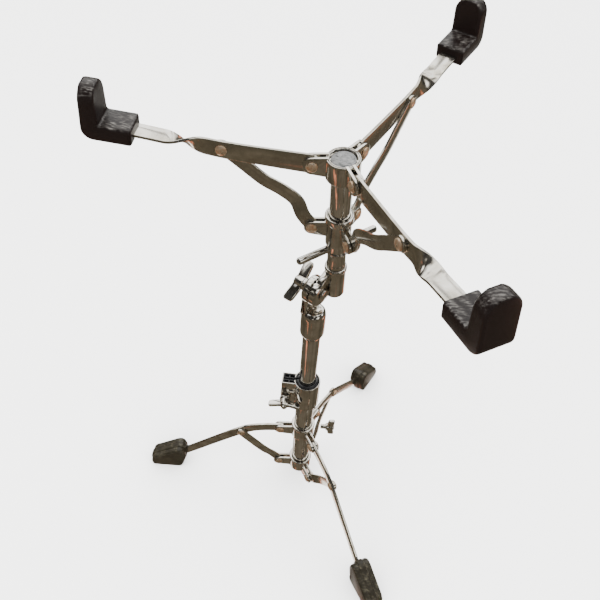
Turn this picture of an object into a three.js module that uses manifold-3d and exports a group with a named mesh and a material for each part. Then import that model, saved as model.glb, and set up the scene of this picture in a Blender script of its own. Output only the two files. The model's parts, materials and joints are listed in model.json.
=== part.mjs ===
// Snare drum stand with a folding three-arm basket, a ratchet tilter and a folding tripod base.
// Millimetres, +Z up. The pieces are drawn about the base tube's axis, with the floor at z = 0, and the
// finished stand is then moved sideways so that its origin is the middle of its footprint.
// Every arm, leg and brace is drawn in its own radial plane: +X outward, +Z up, +Y sideways.

import * as THREE from 'three';
import { mergeVertices } from 'three/addons/utils/BufferGeometryUtils.js';
import Module from 'manifold-3d';

const wasm = await Module();
wasm.setup();

// ---------------------------------------------------------------- driving dimensions
const GAP = 0.3;                          // air left between neighbouring pieces
const SIDES = 18;                         // facets round a tube
const HOLE_SIDES = 8;                     // facets round a rivet and its hole
const THIRD = (2 * Math.PI) / 3;
const DEG = Math.PI / 180;

const BASE = { radius: 11.1, wall: 1.3, bottom: 14, top: 205 };
const HEIGHT_TUBE = { radius: 9.5, wall: 1.2, bottom: 66, top: 337 };

const LEG_AZIMUTH = 187.4 * DEG;          // first leg; the others follow by thirds
const LEG = { thick: 3, high: 14, tipHigh: 12 };
const LEG_BRACE = { thick: 2.4, high: 12 };
const UPPER_HUB = { bottom: 99, top: 122, radius: 14.2, pivotR: 29, pivotZ: 107 };
const LOWER_HUB = { bottom: 16, top: 38, radius: 14.2, pivotR: 29, pivotZ: 23 };
const LEG_JOINT = { r: 80, z: 91.5 };     // rivet that ties a leg to its brace
const LEG_TIP = { r: 180, z: 10 };
const FOOT = { inner: 158, outer: 207, width: 24 };
const LOCK_SCREW = { z: 116, azimuth: LEG_AZIMUTH + Math.PI };

const CLAMP = { bottom: 173, top: 199, radius: 15.4, bore: 13.6, azimuth: 184 * DEG, boltR: 24, boltZ: 186 };
const INSERT = { bottom: 190, top: 219, radius: 13.3 };

const PIVOT_Z = 372;                      // tilter axis above the floor
const TILT_AZIMUTH = -26.5 * DEG;         // direction of the tilter axis
const REST_TILT = 3.8 * DEG;              // the basket leans a little when at rest
const RATCHET = { radius: 15, thick: 8.4, teeth: 20, tooth: 1.3, bore: 4.3 };

const POST_AXIS = { along: 10.5, behind: 17 };   // post axis from the tilter axis
const HUB_UP = 152;                       // centre of the arm hub above the tilter axis
const POST = { sleeve: 9.5, rod: 6, sleeveEnd: -56.5, end: -157.5 };
const ARM_AZIMUTH = 183.7 * DEG - TILT_AZIMUTH;  // first arm, seen in the tilter's frame
const ARM = { thick: 2.6, high: 19, waist: 16 };
const ARM_PIVOT = { r: 25.2, z: -2 };
const ARM_JOINT = { r: 100.2, z: 5 };     // rivet that ties an arm to its brace
const ARM_BRACE = { thick: 2.4, high: 13.5 };
const SLIDER = { top: -55, bottom: -90, floor: -88, bore: 9.8, radius: 11.6, pivotR: 24.2, pivotZ: -72 };
const NUT = { top: -90.3, bottom: -121.7, radius: 9.3, barZ: -94, barR: 3.2, barReach: 43 };
const CUP = { top: -122, bottom: -164, radius: 10 };
const GRIP = { start: 169.5, z: 17, lean: 6.5 * DEG, width: 27, block: 26, deep: 41, low: -7.5, high: 7.5, tall: 39 };

const RIVET = { shank: 2.5, head: 5, dome: 2.2 };

// ---------------------------------------------------------------- finishes
const finish = (color, roughness, metalness) => () =>
  new THREE.MeshStandardMaterial({ color, roughness, metalness });
const chrome = finish('#c9c7c0', 0.12, 1);
const brass = finish('#b98b55', 0.3, 1);
const scratchedSteel = finish('#8f8d88', 0.45, 1);
const blackRubber = finish('#1b1816', 0.75, 0);
const dustyRubber = finish('#3d3b30', 0.85, 0);
const blackPlastic = finish('#101010', 0.25, 0);

// ---------------------------------------------------------------- solids
// A closed geometry as a solid: shared corners are merged and collapsed facets dropped.
function toSolid(geometry) {
  const bare = geometry.index ? geometry.toNonIndexed() : geometry.clone();
  bare.deleteAttribute('normal');
  bare.deleteAttribute('uv');
  const merged = mergeVertices(bare, 1e-4);
  const index = merged.index.array;
  const kept = [];
  for (let i = 0; i < index.length; i += 3) {
    const [a, b, c] = [index[i], index[i + 1], index[i + 2]];
    if (a !== b && b !== c && c !== a) kept.push(a, b, c);
  }
  return new wasm.Manifold(new wasm.Mesh({
    numProp: 3,
    vertProperties: new Float32Array(merged.attributes.position.array),
    triVerts: Uint32Array.from(kept),
  }));
}

function toGeometry(solid) {
  const mesh = solid.getMesh();
  const geometry = new THREE.BufferGeometry();
  geometry.setAttribute('position', new THREE.BufferAttribute(new Float32Array(mesh.vertProperties), 3));
  geometry.setIndex(new THREE.BufferAttribute(new Uint32Array(mesh.triVerts), 1));
  geometry.computeVertexNormals();
  return geometry;
}

const join = (first, ...others) => others.reduce((sum, each) => sum.add(each), first);
const cut = (body, ...tools) => tools.reduce((rest, tool) => rest.subtract(tool), body);

// A turned solid about +Z from [radius, height] points, walked counter-clockwise or not.
function turned(profile, sides = SIDES) {
  const area = profile.reduce((sum, [r, z], i) => {
    const [r2, z2] = profile[(i + 1) % profile.length];
    return sum + r * z2 - r2 * z;
  }, 0);
  const points = (area > 0 ? profile : [...profile].reverse()).map(([r, z]) => new THREE.Vector2(r, z));
  if (!(points[0].x === 0 && points.at(-1).x === 0)) points.push(points[0].clone());
  return toSolid(new THREE.LatheGeometry(points, sides).rotateX(Math.PI / 2));
}

// A round bar along +Y, centred at (x, y, z).
function crossBar(x, z, radius, length, y = 0, sides = 20) {
  return toSolid(new THREE.CylinderGeometry(radius, radius, length, sides).translate(x, y, z));
}

// A plate: an outline in the XZ plane made thick along Y, centred on y.
function plate(shape, thick, y = 0, bevel = 0, curveSegments = 8) {
  const geometry = new THREE.ExtrudeGeometry(shape, {
    depth: thick - 2 * bevel,
    curveSegments,
    bevelEnabled: bevel > 0,
    bevelThickness: bevel,
    bevelSize: bevel,
    bevelOffset: -bevel,
    bevelSegments: 1,
  });
  geometry.translate(0, 0, bevel - thick / 2).rotateX(Math.PI / 2).translate(0, y, 0);
  return toSolid(geometry);
}

function outline(points) {
  return new THREE.Shape(points.map(([x, z]) => new THREE.Vector2(x, z)));
}

// Rings of corners joined into one closed skin, with flat ends.
function loft(rings) {
  const n = rings[0].length;
  const positions = rings.flat().flatMap((p) => [p.x, p.y, p.z]);
  const index = [];
  for (let i = 0; i < rings.length - 1; i += 1) {
    for (let k = 0; k < n; k += 1) {
      const [a, b] = [i * n + k, i * n + ((k + 1) % n)];
      index.push(a, b, b + n, a, b + n, a + n);
    }
  }
  const last = (rings.length - 1) * n;
  for (let k = 1; k < n - 1; k += 1) {
    index.push(0, k + 1, k);
    index.push(last, last + k, last + k + 1);
  }
  const geometry = new THREE.BufferGeometry();
  geometry.setAttribute('position', new THREE.Float32BufferAttribute(positions, 3));
  geometry.setIndex(index);
  return toSolid(geometry);
}

// A flat bar standing on edge along a curve. Its ends can be round about their own centres, its
// height runs through `high` (a function of the distance share) and `twist` turns it about its line.
function bar({ through, high, thick, twist = () => 0, roundStart = 0, roundEnd = 0, steps = 28, grow = 0 }) {
  const curve = new THREE.CatmullRomCurve3(through.map(([x, y, z]) => new THREE.Vector3(x, y, z)));
  const sideways = new THREE.Vector3(0, 1, 0);
  const ring = (centre, tangent, height, turn) => {
    const up = tangent.clone().cross(sideways).normalize();
    const side = up.clone().cross(tangent).normalize();
    const tall = up.clone().multiplyScalar(Math.cos(turn)).addScaledVector(side, Math.sin(turn));
    const wide = side.multiplyScalar(Math.cos(turn)).addScaledVector(up, -Math.sin(turn));
    const [h, w] = [height / 2 + grow, thick / 2 + grow];
    return [[-1, -1], [1, -1], [1, 1], [-1, 1]].map(([s, t]) =>
      centre.clone().addScaledVector(wide, s * w).addScaledVector(tall, t * h));
  };
  const rings = [];
  const cap = (share, radius, sign) => {
    const [centre, tangent] = [curve.getPointAt(share), curve.getTangentAt(share)];
    const angles = [78, 52, 26];
    const list = angles.map((a) => ring(
      centre.clone().addScaledVector(tangent, sign * radius * Math.sin(a * DEG)),
      tangent, 2 * radius * Math.cos(a * DEG), twist(share)));
    return sign < 0 ? list : list.reverse();
  };
  if (roundStart) rings.push(...cap(0, roundStart, -1));
  for (let i = 0; i <= steps; i += 1) {
    const share = i / steps;
    rings.push(ring(curve.getPointAt(share), curve.getTangentAt(share), high(share), twist(share)));
  }
  if (roundEnd) rings.push(...cap(1, roundEnd, 1));
  return loft(rings);
}

const ramp = (from, to, share) => from + (to - from) * THREE.MathUtils.clamp(share, 0, 1);
const ease = (share) => THREE.MathUtils.smoothstep(share, 0, 1);

function addPiece(parent, name, solid, material) {
  const mesh = new THREE.Mesh(toGeometry(solid), material());
  mesh.name = name;
  parent.add(mesh);
  return mesh;
}

// Three radial planes inside a parent, a third of a turn apart.
function spokes(parent, azimuth, build) {
  for (let k = 0; k < 3; k += 1) {
    const plane = new THREE.Group();
    plane.rotation.z = azimuth + k * THIRD;
    parent.add(plane);
    build(plane, k + 1);
  }
}

// ---------------------------------------------------------------- repeated pieces
// A rivet along +Y at (x, z): a shank from y0 to y1 with a low domed head on each chosen end.
function rivet(x, z, y0, y1, heads = [true, true]) {
  const dome = [[RIVET.head, 0], [RIVET.head * 0.6, RIVET.dome]];
  const profile = [[0, heads[0] ? y0 - RIVET.dome : y0]];
  if (heads[0]) [...dome].reverse().forEach(([r, rise]) => profile.push([r, y0 - rise]));
  profile.push([RIVET.shank, y0], [RIVET.shank, y1]);
  if (heads[1]) dome.forEach(([r, rise]) => profile.push([r, y1 + rise]));
  profile.push([0, heads[1] ? y1 + RIVET.dome : y1]);
  const points = profile.map(([r, y]) => new THREE.Vector2(r, y));
  return toSolid(new THREE.LatheGeometry(points, HOLE_SIDES).translate(x, 0, z));
}

// One cheek of a clevis: a plate from the hub's wall to a round end about the pivot.
function cheek(pivotR, pivotZ, radius, root, thick, y) {
  const shape = new THREE.Shape();
  shape.moveTo(root, pivotZ - radius - 1.5);
  shape.lineTo(pivotR, pivotZ - radius);
  shape.absarc(pivotR, pivotZ, radius, -Math.PI / 2, Math.PI / 2, false);
  shape.lineTo(root, pivotZ + radius + 1.5);
  return plate(shape, thick, y, 0, 4);
}

function clevis(pivotR, pivotZ, radius, root, slot, thick) {
  const y = slot / 2 + thick / 2;
  return join(cheek(pivotR, pivotZ, radius, root, thick, y), cheek(pivotR, pivotZ, radius, root, thick, -y));
}

const turnedAbout = (solid, azimuth) => solid.rotate([0, 0, azimuth / DEG]);

// A hub casting: a turned boss with three clevises and their rivet holes.
function clevisHub(boss, bore, azimuth, pivot, cheekRadius, slot, thick, root) {
  const reach = slot + 2 * thick + 4;
  let body = boss;
  for (let k = 0; k < 3; k += 1) {
    const arm = clevis(pivot.r, pivot.z, cheekRadius, root, slot, thick);
    body = body.add(turnedAbout(arm, azimuth + k * THIRD));
  }
  for (let k = 0; k < 3; k += 1) {
    const hole = crossBar(pivot.r, pivot.z, RIVET.shank + GAP, reach, 0, HOLE_SIDES);
    body = body.subtract(turnedAbout(hole, azimuth + k * THIRD));
  }
  return bore ? body.subtract(bore) : body;
}

// A wing nut or wing screw head along +X: a waisted hub with two swept ears.
function wings(hubLength, hubRadius, span, lift, thick) {
  const hub = turned([[0, 0], [hubRadius, 0], [hubRadius, hubLength * 0.2], [hubRadius * 0.86, hubLength * 0.3],
    [hubRadius * 0.82, hubLength * 0.7], [hubRadius * 0.66, hubLength], [0, hubLength]], 14).rotate([0, 90, 0]);
  const ear = new THREE.Shape();
  const root = hubLength * 0.35;
  const tip = hubLength + lift;
  ear.moveTo(root, 0.5);
  ear.lineTo(hubLength * 0.85, 0.5);
  ear.lineTo(hubLength * 0.9, hubRadius * 0.7);
  ear.lineTo(tip, span * 0.43);
  ear.quadraticCurveTo(tip + 0.6, span * 0.5, tip - 2.5, span * 0.5);
  ear.lineTo(root + lift + 1.5, span * 0.48);
  ear.quadraticCurveTo(root + lift - 1, span * 0.46, root + 0.6, hubRadius * 1.2);
  ear.lineTo(root, hubRadius * 0.9);
  ear.closePath();
  const upper = plate(ear, thick, 0, 0.5, 2);
  return join(hub, upper, upper.rotate([180, 0, 0]));
}

// ---------------------------------------------------------------- tripod base
function baseTube() {
  const { radius, wall, bottom, top } = BASE;
  return turned([[radius - wall, bottom], [radius - 0.3, bottom], [radius, bottom + 0.3], [radius, top - 0.3],
    [radius - 0.3, top], [radius - wall, top]]);
}

function hubBoss({ bottom, top, radius }) {
  const bore = BASE.radius + GAP;
  return turned([[bore, bottom], [radius - 1, bottom], [radius, bottom + 1], [radius, top - 2.2],
    [radius - 1.4, top], [bore, top]]);
}

function legHub(hub) {
  const pivot = { r: hub.pivotR, z: hub.pivotZ };
  const slot = (hub === UPPER_HUB ? LEG.thick : LEG_BRACE.thick) + 2 * GAP;
  const bore = turned([[0, hub.bottom - 20], [BASE.radius + GAP, hub.bottom - 20],
    [BASE.radius + GAP, hub.top + 20], [0, hub.top + 20]]);
  return clevisHub(hubBoss(hub), bore, LEG_AZIMUTH, pivot, 7, slot, 2.8, 12.5);
}

// The sliding upper hub also has a threaded boss for its lock screw.
function slidingHub() {
  const boss = turned([[0, 9], [6, 9], [6, 19], [5.2, 20], [0, 20]], 14);
  const thread = turned([[0, 5], [3 + GAP, 5], [3 + GAP, 25], [0, 25]], 12);
  const seat = (solid) => turnedAbout(solid.rotate([0, 90, 0]).translate([0, 0, LOCK_SCREW.z]), LOCK_SCREW.azimuth);
  const bore = turned([[0, 80], [BASE.radius + GAP, 80], [BASE.radius + GAP, 140], [0, 140]]);
  return cut(join(legHub(UPPER_HUB), seat(boss)), bore, seat(thread));
}

function lockScrew() {
  const shank = turned([[0, 0], [3, 0], [3, 19], [0, 19]], 16).rotate([0, 90, 0]).translate([BASE.radius + GAP, 0, 0]);
  const head = wings(11, 4.6, 30, 3, 3.4).translate([BASE.radius + 18, 0, 0]);
  return join(shank, head);
}

const LEG_LINE = [[UPPER_HUB.pivotR, 0, UPPER_HUB.pivotZ], [50, 0, 104.5], [67, 0, 99.5], [LEG_JOINT.r, 0, LEG_JOINT.z],
  [110, 0, 67.5], [153, 0, 31.5], [LEG_TIP.r, 0, LEG_TIP.z]];

function legBar(grow = 0) {
  return bar({
    through: LEG_LINE,
    high: (share) => ramp(LEG.high, LEG.tipHigh, share),
    thick: LEG.thick, roundStart: LEG.high / 2, steps: 13, grow,
  });
}

function leg() {
  return cut(legBar(),
    crossBar(UPPER_HUB.pivotR, UPPER_HUB.pivotZ, RIVET.shank + GAP, 10, 0, HOLE_SIDES),
    crossBar(LEG_JOINT.r, LEG_JOINT.z, RIVET.shank + GAP, 10, 0, HOLE_SIDES));
}

// The brace stands beside the leg at their shared rivet and steps inward to the lower hub's slot.
const BRACE_ASIDE = LEG.thick / 2 + LEG_BRACE.thick / 2 + GAP;

function legBrace() {
  const at = (share) => [ramp(LOWER_HUB.pivotR, LEG_JOINT.r, share), BRACE_ASIDE * ease((share - 0.15) / 0.3),
    ramp(LOWER_HUB.pivotZ, LEG_JOINT.z, share)];
  const strip = bar({
    through: [0, 0.2, 0.35, 0.5, 0.65, 1].map(at),
    high: () => LEG_BRACE.high,
    thick: LEG_BRACE.thick, roundStart: LEG_BRACE.high / 2, roundEnd: LEG_BRACE.high / 2, steps: 12,
  });
  const head = rivet(LEG_JOINT.r, LEG_JOINT.z, BRACE_ASIDE, BRACE_ASIDE + LEG_BRACE.thick / 2, [false, true]);
  return cut(join(strip, head), crossBar(LOWER_HUB.pivotR, LOWER_HUB.pivotZ, RIVET.shank + GAP, 10, 0, HOLE_SIDES));
}

// A rubber boot with a flat sole: deep at the inner end, where the leg goes in, and low at the toe.
function foot() {
  const { inner, outer, width } = FOOT;
  const side = new THREE.Shape();
  side.moveTo(inner + 9, 0);
  side.lineTo(outer - 6, 0);
  side.absarc(outer - 6, 6, 6, -Math.PI / 2, 0.2, false);
  side.quadraticCurveTo(outer - 2, 17, outer - 11, 22);
  side.lineTo(inner + 13, 39);
  side.quadraticCurveTo(inner + 7, 42, inner + 3, 36);
  side.lineTo(inner, 28);
  side.quadraticCurveTo(inner - 1, 22, inner + 3, 14);
  side.closePath();
  let boot = plate(side, width, 0, 2.2, 3);
  for (const x of [177, 184, 191]) {                    // tread grooves across the sole
    boot = boot.subtract(plate(outline([[x - 0.9, -1], [x + 0.9, -1], [x, 1.6]]), width + 2));
  }
  return boot.subtract(legBar(GAP));
}

// ---------------------------------------------------------------- height clamp
function clampBand() {
  const { bottom, top, radius, bore, boltR, boltZ } = CLAMP;
  const ring = turned([[BASE.radius + GAP, bottom], [radius - 1.2, bottom], [radius, bottom + 1.2], [radius, top],
    [bore, top], [bore, bottom + 16], [BASE.radius + GAP, bottom + 16]]);
  const ears = plate(outline([[9, bottom + 2], [boltR + 3, bottom + 2], [boltR + 7, boltZ - 5], [boltR + 7, boltZ + 7],
    [boltR + 3, top - 1], [9, top - 1]]), 13, 0, 0.6);
  const inside = turned([[0, bottom - 5], [BASE.radius + GAP, bottom - 5], [BASE.radius + GAP, bottom + 16],
    [bore, bottom + 16], [bore, top + 5], [0, top + 5]]);
  const slit = plate(outline([[5, bottom - 5], [boltR + 12, bottom - 5], [boltR + 12, top + 5], [5, top + 5]]), 4);
  return cut(join(ring, ears), inside, slit, crossBar(boltR, boltZ, 3 + GAP, 40, 0, 12));
}

// The split plastic sleeve that grips the height tube, with a square tab between the band's ears.
function clampInsert() {
  const { bottom, top, radius } = INSERT;
  const ring = turned([[HEIGHT_TUBE.radius + GAP, BASE.top + GAP], [HEIGHT_TUBE.radius + GAP, top - 1],
    [HEIGHT_TUBE.radius + 1, top], [radius, top], [radius + 1.3, top - 1.2], [radius + 1.3, CLAMP.top + GAP],
    [radius, CLAMP.top + GAP], [radius, bottom], [BASE.radius + GAP, bottom], [BASE.radius + GAP, BASE.top + GAP]]);
  const tab = plate(outline([[11, CLAMP.top + GAP], [CLAMP.boltR + 3, CLAMP.top + GAP], [CLAMP.boltR + 3, top - 2],
    [CLAMP.boltR, top - 0.4], [11, top - 0.4]]), 13, 0, 0.8);
  const core = turned([[0, bottom - 5], [BASE.radius + GAP, bottom - 5], [BASE.radius + GAP, BASE.top + GAP],
    [HEIGHT_TUBE.radius + GAP, BASE.top + GAP], [HEIGHT_TUBE.radius + GAP, top + 5], [0, top + 5]]);
  const slit = plate(outline([[5, bottom - 5], [CLAMP.boltR + 8, bottom - 5], [CLAMP.boltR + 8, top + 5],
    [5, top + 5]]), 2.4);
  const pocket = (y) => plate(outline([[18.5, top - 7], [23.5, top - 7], [23.5, top + 1], [18.5, top + 1]]), 3, y);
  return cut(join(ring, tab), core, slit, pocket(3.5), pocket(-3.5));
}

function clampBolt() {
  const { boltR, boltZ } = CLAMP;
  const shank = crossBar(boltR, boltZ, 3, 33, 6, 12);
  const head = plate(new THREE.Shape(hexagon(5.4).map((p) => p.add(new THREE.Vector2(boltR, boltZ)))), 4, -9, 0.4);
  return join(shank, head);
}

function hexagon(apothem) {
  const corner = apothem / Math.cos(Math.PI / 6);
  return [0, 1, 2, 3, 4, 5].map((i) =>
    new THREE.Vector2(corner * Math.cos((i * Math.PI) / 3), corner * Math.sin((i * Math.PI) / 3)));
}

// ---------------------------------------------------------------- height tube and tilter
function heightTube() {
  const { radius, wall, bottom, top } = HEIGHT_TUBE;
  return turned([[radius - wall, bottom], [radius - 0.4, bottom], [radius, bottom + 0.4], [radius, top],
    [radius - wall, top]]);
}

// A ratchet disc on the tilter axis (+X), its radial teeth standing on the face at x = 0.
function ratchetDisc(side) {
  const { radius, thick, teeth, tooth, bore } = RATCHET;
  const back = side * (GAP / 2 + thick);
  const face = side * (GAP / 2 + tooth);
  const disc = turned([[0, back], [radius - 1, back], [radius, back - side], [radius, face], [0, face]], SIDES)
    .rotate([0, 90, 0]);
  const wedge = plate(outline([[face + side * 0.4, -1.5], [side * GAP / 2, 0], [face + side * 0.4, 1.5]]),
    radius - 7.2, -(radius - 0.2 + 7) / 2);
  let toothed = disc;
  for (let k = 0; k < teeth; k += 1) toothed = toothed.add(wedge.rotate([(k * 360) / teeth, 0, 0]));
  return toothed.subtract(tiltBore(bore));
}

const tiltBore = (radius) => turned([[0, -40], [radius, -40], [radius, 40], [0, 40]], 16).rotate([0, 90, 0]);

// Drawn about the tilter axis: z = 0 is that axis, +X runs along it.
function tilterLower() {
  const shoulder = 337 - PIVOT_Z;
  const sleeveEnd = 303 - PIVOT_Z;
  const sleeve = turned([[HEIGHT_TUBE.radius + GAP, sleeveEnd], [11, sleeveEnd], [13, sleeveEnd + 6], [13, shoulder],
    [12.4, shoulder + 3.4], [9.5, shoulder + 6.4], [0, shoulder + 7], [0, shoulder + GAP],
    [HEIGHT_TUBE.radius + GAP, shoulder + GAP]]);
  const neckShape = outline([[-RATCHET.thick, shoulder + 2], [3, shoulder + 3], [0.5, -22], [-1.8, -16.5], [-1.8, 0],
    [-RATCHET.thick, 0], [-RATCHET.thick - 0.2, -15]]);
  const neck = plate(neckShape, 17, 0, 0.8);
  return cut(join(sleeve, neck, ratchetDisc(-1)), tiltBore(RATCHET.bore));
}

// The upper casting: a ratchet disc and a socket for the post, joined by a thick web.
function tilterUpper() {
  const [x, y] = [POST_AXIS.along, POST_AXIS.behind];
  const [top, bottom] = [CUP.top + HUB_UP, CUP.bottom + HUB_UP];
  const cup = turned([[0, bottom], [CUP.radius - 4, bottom], [CUP.radius - 1.2, bottom + 1.4], [CUP.radius, bottom + 4.5],
    [CUP.radius, top - 3.4], [CUP.radius + 0.9, top - 2.6], [CUP.radius + 0.9, top - 0.8], [CUP.radius, top],
    [0, top]], SIDES).translate([x, y, 0]);
  const socket = turned([[0, POST.end + HUB_UP - GAP], [POST.rod + GAP, POST.end + HUB_UP - GAP],
    [POST.rod + GAP, top + 5], [0, top + 5]], 28).translate([x, y, 0]);
  const web = new THREE.Shape();
  web.moveTo(-4, -13.5);
  web.lineTo(y, bottom + 1);
  web.lineTo(y, top - 6);
  web.quadraticCurveTo(y - 9, top - 9, -5, 13);
  web.closePath();
  const rib = plate(web, RATCHET.thick - 2.2).rotate([0, 0, 90]).translate([(RATCHET.thick + 2.4) / 2, 0, 0]);
  return cut(join(cup, rib, ratchetDisc(1)), socket, tiltBore(RATCHET.bore));
}

function tilterBolt() {
  const head = turned([[0, 11.6], [5, 11.6], [6.4, 10.6], [6.4, 9], [4, 9], [0, 9]], 16).rotate([0, 90, 0]);
  const shank = turned([[0, -23.5], [4, -23.5], [4, 9.5], [0, 9.5]], 16).rotate([0, 90, 0]);
  return join(head, shank);
}

function washer(inner, outer, from, to) {
  return turned([[inner, from], [outer, from], [outer, to], [inner, to]], 18).rotate([0, 90, 0]);
}

// ---------------------------------------------------------------- basket, drawn about the hub centre
function basketPost() {
  const { sleeve, rod, sleeveEnd, end } = POST;
  return turned([[0, end], [rod - 1, end], [rod, end + 1], [rod, sleeveEnd], [sleeve - 0.5, sleeveEnd],
    [sleeve, sleeveEnd + 0.5], [sleeve, -0.4], [0, -0.4]]);
}

const CAP = { radius: 13, recess: 13.3 };

function armHub() {
  const boss = turned([[POST.sleeve + GAP, -13.5], [13.4, -13.5], [14.6, -12], [14.6, 5.6], [14, 6.8],
    [CAP.recess, 6.8], [CAP.recess, 3], [0, 3], [0, -0.1], [POST.sleeve + GAP, -0.1]]);
  const clear = turned([[0, -30], [POST.sleeve + GAP, -30], [POST.sleeve + GAP, -0.1], [0, -0.1]])
    .add(turned([[0, 3], [CAP.recess, 3], [CAP.recess, 20], [0, 20]]));
  return clevisHub(boss, clear, ARM_AZIMUTH, ARM_PIVOT, 8.2, ARM.thick + 2 * GAP, 2.8, 12);
}

function hubCap() {
  return turned([[0, 3 + GAP], [CAP.radius, 3 + GAP], [CAP.radius, 5.8], [CAP.radius - 0.6, 6.4],
    [CAP.radius - 1.8, 6.2], [0, 5.9]]);
}

function armBar(grow = 0) {
  const total = 175;
  return bar({
    through: [[ARM_PIVOT.r, 0, ARM_PIVOT.z], [62, 0, 1.1], [ARM_JOINT.r, 0, ARM_JOINT.z], [122, 0, 8.8], [145, 0, 13],
      [GRIP.start, 0, GRIP.z], [GRIP.start + 29, 0, GRIP.z + 3.3]],
    high: (share) => ramp(ARM.high, ARM.waist, share / 0.5),
    thick: ARM.thick,
    twist: (share) => (Math.PI / 2) * ease((share * total - 87) / 36),
    roundStart: 8.4, steps: 20, grow,
  });
}

function arm() {
  return cut(armBar(),
    crossBar(ARM_PIVOT.r, ARM_PIVOT.z, RIVET.shank + GAP, 10, 0, HOLE_SIDES),
    crossBar(ARM_JOINT.r, ARM_JOINT.z, RIVET.shank + GAP, 10, 0, HOLE_SIDES));
}

const ARM_BRACE_ASIDE = ARM.thick / 2 + ARM_BRACE.thick / 2 + GAP;

// An S-shaped strut: steep at the slider, flat in the middle, and beside the arm at its rivet.
function armBrace() {
  const { pivotR, pivotZ } = SLIDER;
  const side = -ARM_BRACE_ASIDE;
  const strip = bar({
    through: [[pivotR, 0, pivotZ], [32.5, side * 0.1, -60], [38.5, side * 0.8, -46], [50, side, -36], [66, side, -26],
      [82, side, -11.5], [ARM_JOINT.r, side, ARM_JOINT.z]],
    high: (share) => ramp(ARM_BRACE.high, ARM_BRACE.high - 1.5, share),
    thick: ARM_BRACE.thick, roundStart: 6.8, roundEnd: 7, steps: 16,
  });
  return cut(strip, crossBar(ARM_JOINT.r, ARM_JOINT.z, RIVET.shank + GAP, 20, 0, HOLE_SIDES),
    crossBar(pivotR, pivotZ, RIVET.shank + GAP, 10, 0, HOLE_SIDES));
}

function sliderHub() {
  const { top, bottom, floor, bore, radius, pivotR, pivotZ } = SLIDER;
  const inside = [[bore, top], [bore, floor], [POST.rod + GAP, floor], [POST.rod + GAP, bottom]];
  const boss = turned([...inside, [radius - 0.8, bottom], [radius, bottom + 0.8], [radius, top - 8], [13.2, top - 6],
    [13.2, top - 1], [12.4, top]]);
  const clear = turned([[0, bottom - 5], [POST.rod + GAP, bottom - 5], [POST.rod + GAP, floor], [bore, floor],
    [bore, top + 5], [0, top + 5]]);
  return clevisHub(boss, clear, ARM_AZIMUTH, { r: pivotR, z: pivotZ }, 7, ARM_BRACE.thick + 2 * GAP, 2.6, 10);
}

function adjusterNut() {
  const { top, bottom, radius, barZ, barR } = NUT;
  const bore = POST.rod + GAP;
  const body = turned([[bore, bottom], [radius - 0.6, bottom], [radius, bottom + 0.6], [radius, barZ - 7.5],
    [radius + 1.2, barZ - 6.7], [radius + 1.2, barZ - 5], [radius, barZ - 4.2],
    [radius, top], [bore, top]]);
  return body.subtract(crossBar(0, barZ, barR + GAP, 60, 0, 14));
}

// One half of the tommy bar, from the nut's wall outward, with a rounded end.
function adjusterHandle(side) {
  const { barR, barReach, barZ } = NUT;
  const from = POST.rod + 2 * GAP;
  return turned([[0, from], [barR, from], [barR, barReach - 1.4], [barR - 1.2, barReach], [0, barReach]], 14)
    .rotate([-90 * side, 0, 0]).translate([0, 0, barZ]);
}

// A rubber grip: a block over the arm's flat end and a tall round-topped stop that bears on the drum's hoop.
function armGrip() {
  const { block, deep, low, high, tall, width } = GRIP;
  const side = new THREE.Shape();
  side.moveTo(0, low + 3.5);
  side.quadraticCurveTo(0, low, 3.5, low);
  side.lineTo(deep - 9, low);
  side.quadraticCurveTo(deep, low, deep, low + 9);
  side.lineTo(deep - 1, tall - 6);
  side.quadraticCurveTo(deep - 1.5, tall, deep - 7, tall);
  side.lineTo(block + 4, tall);
  side.quadraticCurveTo(block + 0.5, tall, block + 0.5, tall - 4);
  side.lineTo(block, high);
  side.lineTo(3.5, high);
  side.quadraticCurveTo(0, high, 0, high - 3.5);
  side.closePath();
  const front = new THREE.Shape();
  front.moveTo(-width / 2, low - 3);
  front.lineTo(width / 2, low - 3);
  front.lineTo(width / 2, tall - 11);
  front.absarc(width / 2 - 11, tall - 11, 11, 0, Math.PI / 2, false);
  front.absarc(11 - width / 2, tall - 11, 11, Math.PI / 2, Math.PI, false);
  front.closePath();
  const tomb = plate(front, deep + 10, 0, 0, 5).rotate([0, 0, 90]).translate([deep / 2, 0, 0]);
  const grip = plate(side, width, 0, 1.8, 3).intersect(tomb);
  return grip.rotate([0, -GRIP.lean / DEG, 0]).translate([GRIP.start, 0, GRIP.z]).subtract(armBar(GAP));
}

// ---------------------------------------------------------------- assembly
const stand = new THREE.Group();

addPiece(stand, 'base_tube', baseTube(), chrome);
addPiece(stand, 'leg_hub_lower', legHub(LOWER_HUB), chrome);
addPiece(stand, 'leg_hub_upper', slidingHub(), chrome);

const screw = addPiece(stand, 'leg_lock_screw', lockScrew(), chrome);
screw.rotation.z = LOCK_SCREW.azimuth;
screw.position.z = LOCK_SCREW.z;

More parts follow.
